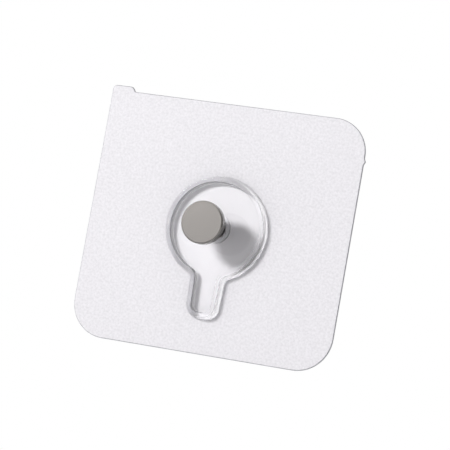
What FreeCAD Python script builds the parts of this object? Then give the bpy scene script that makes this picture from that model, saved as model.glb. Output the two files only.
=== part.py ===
import FreeCAD, Part
import math
import os
from FreeCAD import Vector

# Adhesive picture hook: a square of frosted clear film that sticks to a wall, a clear keyhole-shaped base
# bonded to its front, and a flat-headed steel screw that stands out of the base to carry a frame.
#
# Frame, in millimetres: +Z is up the wall, the front faces -Y, and the wall is on the +Y side.
# The origin is the middle of the film's back face, which lies flat on the wall.

# Film with its adhesive coat
film_width = 62.0
film_height = 57.0
film_thickness = 0.5
film_corner_radius = 8.2
film_edge_break = 0.15

# Peel tab that carries the film's left side on past its top edge, with its right side leaning back
tab_width = 5.6
tab_rise = 1.1
tab_lean = 0.8
tab_left_radius = 1.0
tab_right_radius = 0.8
tab_root_radius = 0.3

# Small bump that the cutting die leaves where the top right corner meets the right side
nick_rise = 0.35
nick_length = 1.5
nick_radius = 0.4

# Clear base: a dish and a tongue inside one raised rim, whose outer side slopes out towards the film
dish_radius = 12.0
rim_width = 0.9
floor_thickness = 0.6
recess_depth = 1.8
outer_draft_degrees = 14.0
inner_draft_degrees = 5.0
tongue_reach = 20.8
tongue_root_width = 8.1
tongue_end_width = 7.5
tongue_end_radius = 3.2
junction_radius = 0.9
rim_outer_radius = 0.3
rim_inner_break = 0.15

# Boss in the middle of the dish, which grips the screw
boss_wall = 0.9
boss_height = 0.9
boss_edge_break = 0.15

# Screw: plain flat head and threaded neck, with a plain shank inside the boss
thread_diameter = 5.0
thread_pitch = 1.0
thread_depth = 0.55
thread_crest_flat = 0.2
thread_root_flat = 0.14
thread_run_out = 0.8
thread_overlap = 0.1
neck_length = 7.7
head_diameter = 9.7
head_thickness = 2.0
head_chamfer = 0.3
under_head_chamfer = 0.15

# Levels along the depth, counted out from the wall
film_front = film_thickness
floor_front = film_front + floor_thickness
rim_front = floor_front + recess_depth
boss_front = floor_front + boss_height
head_back = boss_front + neck_length
head_front = head_back + head_thickness

thread_radius = thread_diameter / 2
outer_slope = math.tan(math.radians(outer_draft_degrees))
inner_slope = math.tan(math.radians(inner_draft_degrees))
FORWARD = Vector(0, -1, 0)
LEVEL_TOLERANCE = 1e-6


def point(x, z, depth):
    """A point at a depth counted out from the wall."""
    return Vector(x, -depth, z)


def unit(x, z):
    length = math.hypot(x, z)
    return x / length, z / length


def edges_at(shape, depth):
    """The edges of a shape that start and end at one depth."""
    edges = []
    for edge in shape.Edges:
        ends = (edge.valueAt(edge.FirstParameter), edge.valueAt(edge.LastParameter))
        if all(abs(end.y + depth) < LEVEL_TOLERANCE for end in ends):
            edges.append(edge)
    return edges


def rounded_outline(corners, depth):
    """A closed wire through (x, z, radius) corners, each rounded by an arc that meets its sides smoothly."""
    starts, middles, ends = [], [], []
    count = len(corners)
    for i, (x, z, radius) in enumerate(corners):
        before, after = corners[i - 1], corners[(i + 1) % count]
        to_before = unit(before[0] - x, before[1] - z)
        to_after = unit(after[0] - x, after[1] - z)
        half_angle = math.acos(to_before[0] * to_after[0] + to_before[1] * to_after[1]) / 2
        reach = radius / math.tan(half_angle)
        inward = unit(to_before[0] + to_after[0], to_before[1] + to_after[1])
        middle = radius / math.sin(half_angle) - radius
        starts.append(point(x + to_before[0] * reach, z + to_before[1] * reach, depth))
        middles.append(point(x + inward[0] * middle, z + inward[1] * middle, depth))
        ends.append(point(x + to_after[0] * reach, z + to_after[1] * reach, depth))
    edges = []
    for i in range(count):
        edges.append(Part.Arc(starts[i], middles[i], ends[i]).toShape())
        edges.append(Part.LineSegment(ends[i], starts[(i + 1) % count]).toShape())
    return Part.Wire(edges)


def build_adhesive_film():
    """The sheet with three round corners, and the peel tab where the fourth would be."""
    right, top = film_width / 2, film_height / 2
    nick_top = top - film_corner_radius
    tab_root = -right + tab_width
    corners = [
        (-right, -top, film_corner_radius),
        (right, -top, film_corner_radius),
        (right, nick_top - nick_length, nick_radius),
        (right + nick_rise, nick_top - nick_length / 2, nick_radius),
        (right, nick_top, nick_radius),
        (right, top, film_corner_radius - nick_radius),
        (tab_root, top, tab_root_radius),
        (tab_root - tab_lean, top + tab_rise, tab_right_radius),
        (-right, top + tab_rise, tab_left_radius),
    ]
    film = Part.Face(rounded_outline(corners, 0)).extrude(FORWARD * film_thickness)
    return film.makeChamfer(film_edge_break, edges_at(film, film_front))


def keyhole_outline(inset, depth):
    """The outline of dish and tongue, moved inwards by inset, with every stretch smooth into the next."""
    root, end = tongue_root_width / 2, tongue_end_width / 2
    down = unit(end - root, dish_radius - tongue_reach)
    out = (-down[1], down[0])
    side = out[0] * root - out[1] * dish_radius
    # Middle of the hollow round between dish and tongue, which touches both
    along = math.sqrt((dish_radius + junction_radius) ** 2 - (side + junction_radius) ** 2)
    hollow = [out[k] * (side + junction_radius) + down[k] * along for k in (0, 1)]
    # Middle of the round at the tongue's end corner
    level = tongue_end_radius - tongue_reach
    along = (level - out[1] * (side - tongue_end_radius)) / down[1]
    corner = [out[k] * (side - tongue_end_radius) + down[k] * along for k in (0, 1)]

    dish, hollow_radius, end_radius = dish_radius - inset, junction_radius + inset, tongue_end_radius - inset
    to_dish = unit(-hollow[0], -hollow[1])
    hollow_middle = unit(to_dish[0] - out[0], to_dish[1] - out[1])
    corner_middle = unit(out[0], out[1] - 1)
    right = [
        (hollow[0] + to_dish[0] * hollow_radius, hollow[1] + to_dish[1] * hollow_radius),
        (hollow[0] + hollow_middle[0] * hollow_radius, hollow[1] + hollow_middle[1] * hollow_radius),
        (hollow[0] - out[0] * hollow_radius, hollow[1] - out[1] * hollow_radius),
        (corner[0] + out[0] * end_radius, corner[1] + out[1] * end_radius),
        (corner[0] + corner_middle[0] * end_radius, corner[1] + corner_middle[1] * end_radius),
        (corner[0], corner[1] - end_radius),
    ]
    r = [point(x, z, depth) for x, z in right]
    m = [point(-x, z, depth) for x, z in right]
    edges = [
        Part.Arc(m[0], point(0, dish, depth), r[0]),
        Part.Arc(r[0], r[1], r[2]),
        Part.LineSegment(r[2], r[3]),
        Part.Arc(r[3], r[4], r[5]),
        Part.LineSegment(r[5], m[5]),
        Part.Arc(m[5], m[4], m[3]),
        Part.LineSegment(m[3], m[2]),
        Part.Arc(m[2], m[1], m[0]),
    ]
    return Part.Wire([edge.toShape() for edge in edges])


def keyhole_block(back_inset, back, front_inset, front):
    """A solid whose outline leans from one inset to another over its depth."""
    outlines = [keyhole_outline(back_inset, back), keyhole_outline(front_inset, front)]
    return Part.makeLoft(outlines, True, True)


def disc(radius, back, front):
    """A round on the screw's axis between two depths."""
    return Part.makeCylinder(radius, front - back, point(0, 0, back), FORWARD)


def build_keyhole_base():
    """The dish and tongue with their drafted rim, and the bored boss in the middle."""
    lean = outer_slope * (rim_front - film_front)
    recess_lean = inner_slope * recess_depth
    recess_inset = lean + rim_width
    body = keyhole_block(0, film_front, lean, rim_front)
    body = body.makeFillet(rim_outer_radius, edges_at(body, rim_front))
    recess = keyhole_block(recess_inset + recess_lean, floor_front, recess_inset, rim_front)
    mouth = keyhole_block(recess_inset, rim_front - rim_inner_break, recess_inset - rim_inner_break, rim_front)
    boss = disc(thread_radius + boss_wall, film_front, boss_front)
    boss = boss.makeChamfer(boss_edge_break, edges_at(boss, boss_front))
    bore = disc(thread_radius, film_front, boss_front)
    return body.cut([recess, mouth]).fuse(boss).cut(bore).removeSplitter()


def threaded_neck():
    """The neck between boss and head: a core with one helical ridge that stops short of both ends."""
    core_radius = thread_radius - thread_depth
    core = Part.makeCylinder(core_radius, neck_length)
    helix = Part.makeHelix(thread_pitch, neck_length - 2 * thread_run_out, core_radius)
    half_foot = (thread_pitch - thread_root_flat) / 2
    half_crest = thread_crest_flat / 2
    foot = core_radius - thread_overlap
    section = [(foot, -half_foot), (thread_radius, -half_crest), (thread_radius, half_crest), (foot, half_foot)]
    section.append(section[0])
    outline = Part.makePolygon([Vector(x, 0, z) for x, z in section])
    ridge = Part.Wire(helix).makePipeShell([outline], True, True)
    ridge.translate(Vector(0, 0, thread_run_out))
    neck = core.fuse(ridge)
    neck.rotate(Vector(0, 0, 0), Vector(1, 0, 0), 90)
    neck.translate(FORWARD * boss_front)
    return neck


def build_flat_head_screw():
    """One turned piece: plain shank in the boss, threaded neck, and flat head with its edges broken."""
    radius = head_diameter / 2
    profile = [
        (0, head_back), (radius - under_head_chamfer, head_back), (radius, head_back + under_head_chamfer),
        (radius, head_front - head_chamfer), (radius - head_chamfer, head_front), (0, head_front), (0, head_back)]
    head = Part.Face(Part.makePolygon([point(x, 0, depth) for x, depth in profile]))
    head = head.revolve(Vector(0, 0, 0), FORWARD, 360)
    shank = disc(thread_radius, film_front, boss_front)
    return shank.fuse([threaded_neck(), head]).removeSplitter()


os.makedirs("parts", exist_ok=True)
nodes = {
    "adhesive_film": build_adhesive_film(),
    "keyhole_base": build_keyhole_base(),
    "flat_head_screw": build_flat_head_screw(),
}
for name, shape in nodes.items():
    print(name, shape.ShapeType, shape.isValid(), len(shape.Solids), round(shape.Volume, 2))
    shape.exportStep(f"parts/{name}.step")
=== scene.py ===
import math

import bmesh
import bpy
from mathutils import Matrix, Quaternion, Vector


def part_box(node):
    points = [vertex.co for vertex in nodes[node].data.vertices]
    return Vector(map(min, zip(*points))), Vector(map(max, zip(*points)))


# Adhesive picture hook: frosted clear film on the wall, a clear keyhole-shaped base bonded to it, and a
# flat-headed steel screw standing out of the base. The front faces -Y and the wall is on the +Y side.
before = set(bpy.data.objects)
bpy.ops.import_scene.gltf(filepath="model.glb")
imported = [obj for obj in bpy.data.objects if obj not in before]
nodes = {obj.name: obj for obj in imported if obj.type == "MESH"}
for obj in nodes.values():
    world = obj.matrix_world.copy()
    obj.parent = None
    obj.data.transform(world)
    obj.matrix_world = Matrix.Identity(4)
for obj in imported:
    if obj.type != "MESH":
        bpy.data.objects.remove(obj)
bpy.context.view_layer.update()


# Film. A die-cut square of soft PVC, frosted on its front and coated on its back with the clear adhesive that
# holds it to the wall. The die rolls its cut edge over a little, and the base's bond wets out the frost.
def srgb(hex_code):
    """A colour written as sRGB hex, as the linear values that a shader takes."""
    channels = [int(hex_code[i:i + 2], 16) / 255 for i in (0, 2, 4)]
    return (*(c / 12.92 if c <= 0.04045 else ((c + 0.055) / 1.055) ** 2.4 for c in channels), 1.0)


def add_node(tree, kind, inputs=(), **settings):
    """One node with its settings, and its inputs set to values or linked from other nodes' sockets."""
    node = tree.nodes.new(kind)
    for name, value in settings.items():
        setattr(node, name, value)
    for name, value in dict(inputs).items():
        if isinstance(value, bpy.types.NodeSocket):
            tree.links.new(value, node.inputs[name])
        else:
            node.inputs[name].default_value = value
    return node


def new_material(name):
    """A node material with an empty tree."""
    material = bpy.data.materials.new(name)
    material.use_nodes = True
    material.node_tree.nodes.clear()
    return material, material.node_tree


def finish_with(piece, material):
    """Gives a piece one material in place of what it came with."""
    piece.data.materials.clear()
    piece.data.materials.append(material)


FILM_COLOUR = srgb("F3F1F5")
# Painted shade: the film's cut edge faces are coloured a darker grey, standing in for the shade and bent
# light there
FILM_EDGE_SHADE_COLOUR = srgb("B8B9BE")
PVC_ROUGHNESS = 0.55
PVC_IOR = 1.53
# Share of the light that the film scatters through to its other side
PVC_LETS_THROUGH = 0.15
FROST_GRAIN = 0.00055
FROST_HEIGHT = 0.0001
FROST_BUMP = 0.3
GRAIN_DETAIL, GRAIN_ROUGHNESS = 2.0, 0.6
GRAIN_LOW, GRAIN_HIGH = 0.3, 0.7
SPECK_DARK, SPECK_LIGHT = 0.86, 1.02
# A face that looks forward less than the first is cut edge, and more than the second is flat front
EDGE_FACING, FRONT_FACING = 0.75, 0.98
base_low, base_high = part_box("keyhole_base")
dish_radius = (base_high.x - base_low.x) / 2
TONGUE_HALF = 0.0036
BOND_FADE = 0.0002
# Light that goes to and fro between the film and the flat moulding on it makes the film there brighter
CLEAR_TONE = 1.03
film = nodes["adhesive_film"]
# Soft PVC with a fine frost: an even, almost white sheet with no mirror image and a faint grain
frosted_pvc, tree = new_material("frosted_pvc_film")
place = add_node(tree, "ShaderNodeTexCoord")
# Frost is finer than a pixel, so its grain is drawn about as coarse as it shows in the picture
grain = add_node(tree, "ShaderNodeTexNoise", {
    "Vector": place.outputs["Object"], "Scale": 1 / FROST_GRAIN, "Detail": GRAIN_DETAIL,
    "Roughness": GRAIN_ROUGHNESS})
# The bonded area is the dish's round and a straight strip with a round end under the tongue
across = add_node(tree, "ShaderNodeVectorMath", {
    0: place.outputs["Object"], 1: (1.0, 0.0, 1.0)}, operation="MULTIPLY")
from_axis = add_node(tree, "ShaderNodeVectorMath", {0: across.outputs[0]}, operation="LENGTH")
past_dish = add_node(tree, "ShaderNodeMapRange", {
    "Value": from_axis.outputs["Value"], "From Min": dish_radius - BOND_FADE, "From Max": dish_radius})
spot = add_node(tree, "ShaderNodeSeparateXYZ", {"Vector": place.outputs["Object"]})
beside = add_node(tree, "ShaderNodeClamp", {
    "Value": spot.outputs["Z"], "Min": base_low.z + TONGUE_HALF, "Max": 0.0})
past_middle = add_node(tree, "ShaderNodeMath", {
    0: spot.outputs["Z"], 1: beside.outputs[0]}, operation="SUBTRACT")
off_middle = add_node(tree, "ShaderNodeCombineXYZ", {"X": spot.outputs["X"], "Z": past_middle.outputs[0]})
from_middle = add_node(tree, "ShaderNodeVectorMath", {0: off_middle.outputs[0]}, operation="LENGTH")
past_tongue = add_node(tree, "ShaderNodeMapRange", {
    "Value": from_middle.outputs["Value"], "From Min": TONGUE_HALF - BOND_FADE, "From Max": TONGUE_HALF})
frosted = add_node(tree, "ShaderNodeMath", {
    0: past_dish.outputs[0], 1: past_tongue.outputs[0]}, operation="MINIMUM")
speck = add_node(tree, "ShaderNodeMapRange", {
    "Value": grain.outputs["Fac"], "From Min": GRAIN_LOW, "From Max": GRAIN_HIGH,
    "To Min": SPECK_DARK, "To Max": SPECK_LIGHT})
tone = add_node(tree, "ShaderNodeMix", {0: frosted.outputs[0], 2: CLEAR_TONE, 3: speck.outputs[0]})
facing = add_node(tree, "ShaderNodeSeparateXYZ", {"Vector": place.outputs["Normal"]})
flatness = add_node(tree, "ShaderNodeMath", {0: facing.outputs["Y"]}, operation="ABSOLUTE")
on_face = add_node(tree, "ShaderNodeMapRange", {
    "Value": flatness.outputs[0], "From Min": EDGE_FACING, "From Max": FRONT_FACING})
# The cut edge gets the painted shade colour, the flat front the film's own colour
colour = add_node(tree, "ShaderNodeMix", {
    0: on_face.outputs[0], 6: FILM_EDGE_SHADE_COLOUR, 7: FILM_COLOUR}, data_type="RGBA")
grained = add_node(tree, "ShaderNodeVectorMath", {
    0: colour.outputs[2], "Scale": tone.outputs[0]}, operation="SCALE")
frost_bump = add_node(tree, "ShaderNodeBump", {
    "Height": grain.outputs["Fac"], "Strength": FROST_BUMP, "Distance": FROST_HEIGHT})
pvc = add_node(tree, "ShaderNodeBsdfPrincipled", {
    "Base Color": grained.outputs[0], "Roughness": PVC_ROUGHNESS, "IOR": PVC_IOR,
    "Normal": frost_bump.outputs[0]})
through = add_node(tree, "ShaderNodeBsdfTranslucent", {"Color": FILM_COLOUR})
lit = add_node(tree, "ShaderNodeMixShader", {0: PVC_LETS_THROUGH, 1: pvc.outputs[0], 2: through.outputs[0]})
add_node(tree, "ShaderNodeOutputMaterial", {"Surface": lit.outputs[0]})
finish_with(film, frosted_pvc)


# Keyhole base. One clear polished acrylic moulding: a round dish and a tongue inside one rounded rim, and a
# low boss in the middle that grips the screw. It is bonded flat to the film. Its recess's steep walls get
# painted shade.
WELD_DISTANCE = 1e-6
GENTLE_BEND = math.radians(28)


def rounded_look(piece):
    """Merges a CAD node's loose triangles and shades its curved faces smoothly, with real edges kept."""
    weld = piece.modifiers.new("weld", "WELD")
    weld.merge_threshold = WELD_DISTANCE
    group = bpy.data.node_groups.new(piece.name + "_smooth", "GeometryNodeTree")
    group.interface.new_socket("Geometry", in_out="INPUT", socket_type="NodeSocketGeometry")
    group.interface.new_socket("Geometry", in_out="OUTPUT", socket_type="NodeSocketGeometry")
    shape = add_node(group, "NodeGroupInput")
    bend = add_node(group, "GeometryNodeInputMeshEdgeAngle")
    gentle = add_node(group, "FunctionNodeCompare", {
        0: bend.outputs["Unsigned Angle"], 1: GENTLE_BEND}, operation="LESS_THAN")
    faces = add_node(group, "GeometryNodeSetShadeSmooth", {"Geometry": shape.outputs[0]}, domain="FACE")
    edges = add_node(group, "GeometryNodeSetShadeSmooth", {
        "Geometry": faces.outputs[0], "Shade Smooth": gentle.outputs[0]}, domain="EDGE")
    add_node(group, "NodeGroupOutput", {0: edges.outputs[0]})
    piece.modifiers.new("smooth", "NODES").node_group = group
    even = piece.modifiers.new("even", "WEIGHTED_NORMAL")
    even.keep_sharp = True


ACRYLIC_COLOUR = srgb("FEFEFE")
ACRYLIC_ROUGHNESS = 0.02
ACRYLIC_IOR = 1.49
# Painted shade on the recess's steep walls: a grey share that darkens them, more on a wall seen from the
# recess than on one seen through the rim
RECESS_WALL_SHADE_COLOUR = srgb("A8A8AC")
WALL_SHADE_SEEN_FROM_RECESS = 0.75
WALL_SHADE_SEEN_FROM_INSIDE = 0.35
# Lamp light that is left on its straight way to the film, for each kind of face that it crosses
FACE_PASSES = srgb("FFFFFF")
EDGE_PASSES = srgb("989898")
OUTER_WALL_LETS_IN = srgb("CCCCCF")
OUTER_WALL_LETS_OUT = srgb("B4B4B8")
INNER_WALL_LETS_OUT = srgb("88898E")
# A recess's wall bends light towards the film under the rim and gathers it there, so this one is over 1
INNER_WALL_LETS_IN = (1.35, 1.35, 1.36, 1.0)
# A face that looks forward less than this is a wall
WALL_SLOPE = 0.6
EDGE_DEPTH = 0.0008
AIR_GAP = 0.00002
base = nodes["keyhole_base"]
# Clear moulded acrylic: no colour of its own, and bright lines where its walls and edges bend the white room
clear_acrylic, tree = new_material("clear_acrylic_moulding")
place = add_node(tree, "ShaderNodeTexCoord")
facing = add_node(tree, "ShaderNodeSeparateXYZ", {"Vector": place.outputs["Normal"]})
flatness = add_node(tree, "ShaderNodeMath", {0: facing.outputs["Y"]}, operation="ABSOLUTE")
wall = add_node(tree, "ShaderNodeMath", {0: flatness.outputs[0], 1: WALL_SLOPE}, operation="LESS_THAN")
# Painted shade: the recess's steep walls get a grey diffuse share, which greys them beside the polished faces
sideways = add_node(tree, "ShaderNodeVectorMath", {
    0: place.outputs["Normal"], 1: (1.0, 0.0, 1.0)}, operation="MULTIPLY")
outward = add_node(tree, "ShaderNodeVectorMath", {
    0: place.outputs["Object"], 1: sideways.outputs[0]}, operation="DOT_PRODUCT")
# A ray that meets a face from inside the solid is given the normal the other way round
side = add_node(tree, "ShaderNodeNewGeometry")
sign = add_node(tree, "ShaderNodeMath", {
    0: side.outputs["Backfacing"], 1: -2.0, 2: 1.0}, operation="MULTIPLY_ADD")
outward = add_node(tree, "ShaderNodeMath", {
    0: outward.outputs["Value"], 1: sign.outputs[0]}, operation="MULTIPLY")
inner = add_node(tree, "ShaderNodeMath", {0: outward.outputs[0], 1: 0.0}, operation="LESS_THAN")
inner_wall = add_node(tree, "ShaderNodeMath", {
    0: wall.outputs[0], 1: inner.outputs[0]}, operation="MULTIPLY")
share = add_node(tree, "ShaderNodeMix", {
    0: side.outputs["Backfacing"], 2: WALL_SHADE_SEEN_FROM_RECESS, 3: WALL_SHADE_SEEN_FROM_INSIDE})
wall_shade_share = add_node(tree, "ShaderNodeMath", {
    0: inner_wall.outputs[0], 1: share.outputs[0]}, operation="MULTIPLY")
polished = add_node(tree, "ShaderNodeBsdfPrincipled", {
    "Base Color": ACRYLIC_COLOUR, "Roughness": ACRYLIC_ROUGHNESS, "IOR": ACRYLIC_IOR,
    "Transmission Weight": 1.0})
wall_shade_bsdf = add_node(tree, "ShaderNodeBsdfDiffuse", {"Color": RECESS_WALL_SHADE_COLOUR})
acrylic = add_node(tree, "ShaderNodeMixShader", {
    0: wall_shade_share.outputs[0], 1: polished.outputs[0], 2: wall_shade_bsdf.outputs[0]})
# Lamp light inside the rim can't get out through a steep wall, so the rim throws a soft grey shadow past it.
# A shadow ray runs from the film to the lamp, so it meets a wall from inside where the light comes in by it
let_in = add_node(tree, "ShaderNodeMix", {
    0: inner.outputs[0], 6: OUTER_WALL_LETS_IN, 7: INNER_WALL_LETS_IN}, data_type="RGBA")
let_out = add_node(tree, "ShaderNodeMix", {
    0: inner.outputs[0], 6: OUTER_WALL_LETS_OUT, 7: INNER_WALL_LETS_OUT}, data_type="RGBA")
at_wall = add_node(tree, "ShaderNodeMix", {
    0: side.outputs["Backfacing"], 6: let_out.outputs[2], 7: let_in.outputs[2]}, data_type="RGBA")
passed = add_node(tree, "ShaderNodeMix", {
    0: wall.outputs[0], 6: FACE_PASSES, 7: at_wall.outputs[2]}, data_type="RGBA")
# The rim's front, with its rounded edge, spreads the light that crosses it
spot = add_node(tree, "ShaderNodeSeparateXYZ", {"Vector": place.outputs["Object"]})
near_front = add_node(tree, "ShaderNodeMath", {
    0: spot.outputs["Y"], 1: base_low.y + EDGE_DEPTH}, operation="LESS_THAN")
at_edge = add_node(tree, "ShaderNodeMath", {
    0: near_front.outputs[0], 1: inner_wall.outputs[0]}, operation="GREATER_THAN")
passed = add_node(tree, "ShaderNodeMix", {
    0: at_edge.outputs[0], 6: passed.outputs[2], 7: EDGE_PASSES}, data_type="RGBA", blend_type="MULTIPLY")
let_through = add_node(tree, "ShaderNodeBsdfTransparent", {"Color": passed.outputs[2]})
ray = add_node(tree, "ShaderNodeLightPath")
# The even light reaches the film the same way as the lamp's, so the acrylic doesn't count it a second time
seen = add_node(tree, "ShaderNodeMixShader", {
    0: ray.outputs["Is Diffuse Ray"], 1: acrylic.outputs[0], 2: let_through.outputs[0]})
surface = add_node(tree, "ShaderNodeMixShader", {
    0: ray.outputs["Is Shadow Ray"], 1: seen.outputs[0], 2: let_through.outputs[0]})
add_node(tree, "ShaderNodeOutputMaterial", {"Surface": surface.outputs[0]})
finish_with(base, clear_acrylic)
rounded_look(base)
# A film of air lies between the flat moulding and the rough frost
gap = base.modifiers.new("air_gap", "DISPLACE")
gap.direction = "Y"
gap.mid_level = 0.0
gap.strength = -AIR_GAP


# Screw. One turned piece of stainless steel: a flat head faced off on the lathe with a satin finish, and a
# threaded neck behind it. Its shank is held in the base's boss.
STEEL_COLOUR = srgb("A09C99")
GROOVE_COLOUR = srgb("979390")
# Painted shade: the head's rim and the neck's sides are coloured darker than the face, standing in for the
# dark reflections they catch
SIDE_SHADE_COLOUR = srgb("767471")
STEEL_ROUGHNESS = 0.14
TOOL_MARK = 0.00045
MARK_DEPTH = 0.000002
MARK_BUMP = 0.5
RING_WOBBLE = 2.0
RING_DETAIL = 2.0
# The rings of a Wave texture repeat this far apart at a scale of one
WAVE_PERIOD = 2 * math.pi / 20
screw = nodes["flat_head_screw"]
# Satin stainless steel: a warm mid grey that mirrors only the softened light and dark of the room
satin_steel, tree = new_material("satin_stainless_steel")
place = add_node(tree, "ShaderNodeTexCoord")
facing = add_node(tree, "ShaderNodeSeparateXYZ", {"Vector": place.outputs["Normal"]})
flatness = add_node(tree, "ShaderNodeMath", {0: facing.outputs["Y"]}, operation="ABSOLUTE")
# The lathe's marks are finer than a pixel, so they are drawn about as coarse as a pixel can show
rings = add_node(tree, "ShaderNodeTexWave", {
    "Vector": place.outputs["Object"], "Scale": WAVE_PERIOD / TOOL_MARK, "Distortion": RING_WOBBLE,
    "Detail": RING_DETAIL}, wave_type="RINGS", rings_direction="Y")
turned = add_node(tree, "ShaderNodeMix", {
    0: rings.outputs["Fac"], 6: GROOVE_COLOUR, 7: STEEL_COLOUR}, data_type="RGBA")
# Faces that don't look forward get the painted shade colour in place of the turned steel's
tone = add_node(tree, "ShaderNodeMix", {
    0: flatness.outputs[0], 6: SIDE_SHADE_COLOUR, 7: turned.outputs[2]}, data_type="RGBA")
marks = add_node(tree, "ShaderNodeBump", {
    "Height": rings.outputs["Fac"], "Strength": MARK_BUMP, "Distance": MARK_DEPTH})
steel = add_node(tree, "ShaderNodeBsdfPrincipled", {
    "Base Color": tone.outputs[2], "Metallic": 1.0, "Roughness": STEEL_ROUGHNESS,
    "Normal": marks.outputs[0]})
add_node(tree, "ShaderNodeOutputMaterial", {"Surface": steel.outputs[0]})
finish_with(screw, satin_steel)
rounded_look(screw)
# The same hair of air all round the screw keeps its shank's faces off those of the bore
grip = screw.modifiers.new("grip", "DISPLACE")
grip.mid_level = 0.0
grip.strength = -AIR_GAP


# Floor. A pale plane well below the hook, for the views that look down on it. It is white to the eye, as the
# room behind it is, and lights the hook as a pale card would.
FLOOR_DROP = 0.09
FLOOR_SIZE = 3.0
FLOOR_COLOUR = srgb("F2F2F2")
floor_mesh = bpy.data.meshes.new("studio_floor")
builder = bmesh.new()
bmesh.ops.create_grid(builder, x_segments=1, y_segments=1, size=FLOOR_SIZE / 2)
bmesh.ops.translate(builder, verts=builder.verts, vec=(0, 0, -FLOOR_DROP))
builder.to_mesh(floor_mesh)
builder.free()
floor = bpy.data.objects.new("studio_floor", floor_mesh)
bpy.context.collection.objects.link(floor)
white_card, tree = new_material("white_studio_card")
card = add_node(tree, "ShaderNodeBsdfDiffuse", {"Color": FLOOR_COLOUR})
glow = add_node(tree, "ShaderNodeEmission", {"Color": (1, 1, 1, 1), "Strength": 1.0})
ray = add_node(tree, "ShaderNodeLightPath")
seen = add_node(tree, "ShaderNodeMath", {
    0: ray.outputs["Is Camera Ray"], 1: ray.outputs["Is Transmission Ray"]}, operation="MAXIMUM")
mixed = add_node(tree, "ShaderNodeMixShader", {0: seen.outputs[0], 1: card.outputs[0], 2: glow.outputs[0]})
add_node(tree, "ShaderNodeOutputMaterial", {"Surface": mixed.outputs[0]})
floor_mesh.materials.append(white_card)


# Surroundings. White to the eye, and a softer even light on the front, with a stronger one on the side that
# the wall hides. Steel and acrylic also see dark flags between front and sides, which draw clear edges.
WHITE = 1.0
AMBIENT = 0.24
BEHIND = 0.85
BEHIND_FROM = 0.0
BEHIND_FULL = 0.3
MIRRORED_FRONT = 0.75
BENT_FRONT = 1.15
MIRRORED_FLAG = 0.35
BENT_FLAG = 0.25
SIDE_AT = 0.1
FLAG_AT = 0.25
FRONT_AT = 0.85
world = bpy.data.worlds.new("white_studio")
world.use_nodes = True
tree = world.node_tree
tree.nodes.clear()
ray = add_node(tree, "ShaderNodeLightPath")
place = add_node(tree, "ShaderNodeTexCoord")
towards = add_node(tree, "ShaderNodeSeparateXYZ", {"Vector": place.outputs["Generated"]})
front = add_node(tree, "ShaderNodeMix", {
    0: ray.outputs["Is Transmission Ray"], 2: MIRRORED_FRONT, 3: BENT_FRONT})
flag = add_node(tree, "ShaderNodeMix", {
    0: ray.outputs["Is Transmission Ray"], 2: MIRRORED_FLAG, 3: BENT_FLAG})
sides = add_node(tree, "ShaderNodeMapRange", {
    "Value": towards.outputs["Y"], "From Min": -SIDE_AT, "From Max": -FLAG_AT,
    "To Min": WHITE, "To Max": flag.outputs[0]}, interpolation_type="SMOOTHSTEP")
studio = add_node(tree, "ShaderNodeMapRange", {
    "Value": towards.outputs["Y"], "From Min": -FLAG_AT, "From Max": -FRONT_AT,
    "To Min": sides.outputs[0], "To Max": front.outputs[0]}, interpolation_type="SMOOTHSTEP")
even = add_node(tree, "ShaderNodeMapRange", {
    "Value": towards.outputs["Y"], "From Min": BEHIND_FROM, "From Max": BEHIND_FULL,
    "To Min": AMBIENT, "To Max": BEHIND})
mirrored = add_node(tree, "ShaderNodeMath", {
    0: ray.outputs["Is Glossy Ray"], 1: ray.outputs["Is Transmission Ray"]}, operation="MAXIMUM")
level = add_node(tree, "ShaderNodeMix", {0: mirrored.outputs[0], 2: even.outputs[0], 3: studio.outputs[0]})
level = add_node(tree, "ShaderNodeMix", {0: ray.outputs["Is Camera Ray"], 2: level.outputs[0], 3: WHITE})
sky = add_node(tree, "ShaderNodeBackground", {"Color": (1, 1, 1, 1), "Strength": level.outputs[0]})
add_node(tree, "ShaderNodeOutputWorld", {"Surface": sky.outputs[0]})
bpy.context.scene.world = world


# Key light. A small softbox in front of the hook, to its upper left, whose shadows fall down to the right.
KEY_DIRECTION = Vector((-0.465, -0.84, 0.27)).normalized()
KEY_DISTANCE = 2.0
KEY_WIDTH = 0.58
KEY_HEIGHT = 0.36
KEY_POWER = 29.2
key_light = bpy.data.lights.new("key_softbox", "AREA")
key_light.shape = "ELLIPSE"
key_light.size = KEY_WIDTH
key_light.size_y = KEY_HEIGHT
key_light.energy = KEY_POWER
key = bpy.data.objects.new("key_softbox", key_light)
key.location = KEY_DIRECTION * KEY_DISTANCE
key.rotation_euler = KEY_DIRECTION.to_track_quat("Z", "Y").to_euler()
key.visible_transmission = False
bpy.context.collection.objects.link(key)


# Camera. It looks from the hook's right and from a little below, rolled so that the film leans to the right.
CAMERA_AZIMUTH = math.radians(18.76)
CAMERA_ELEVATION = math.radians(-4.99)
CAMERA_ROLL = math.radians(10.15)
CAMERA_DISTANCE = 0.4836
CAMERA_AIM = Vector((0.00151, 0.0, 0.00119))
CAMERA_LENS = 172.0
CAMERA_SENSOR = 36.0
CAMERA_CLIP_START = 0.01
camera_data = bpy.data.cameras.new("camera")
camera_data.lens = CAMERA_LENS
camera_data.sensor_width = CAMERA_SENSOR
camera_data.clip_start = CAMERA_CLIP_START
camera = bpy.data.objects.new("camera", camera_data)
outward = Vector((
    math.sin(CAMERA_AZIMUTH) * math.cos(CAMERA_ELEVATION),
    -math.cos(CAMERA_AZIMUTH) * math.cos(CAMERA_ELEVATION),
    math.sin(CAMERA_ELEVATION)))
camera.location = CAMERA_AIM + outward * CAMERA_DISTANCE
turn = outward.to_track_quat("Z", "Y") @ Quaternion((0, 0, 1), CAMERA_ROLL)
camera.rotation_euler = turn.to_euler()
bpy.context.collection.objects.link(camera)
bpy.context.scene.camera = camera
bpy.context.scene.view_settings.view_transform = "Standard"
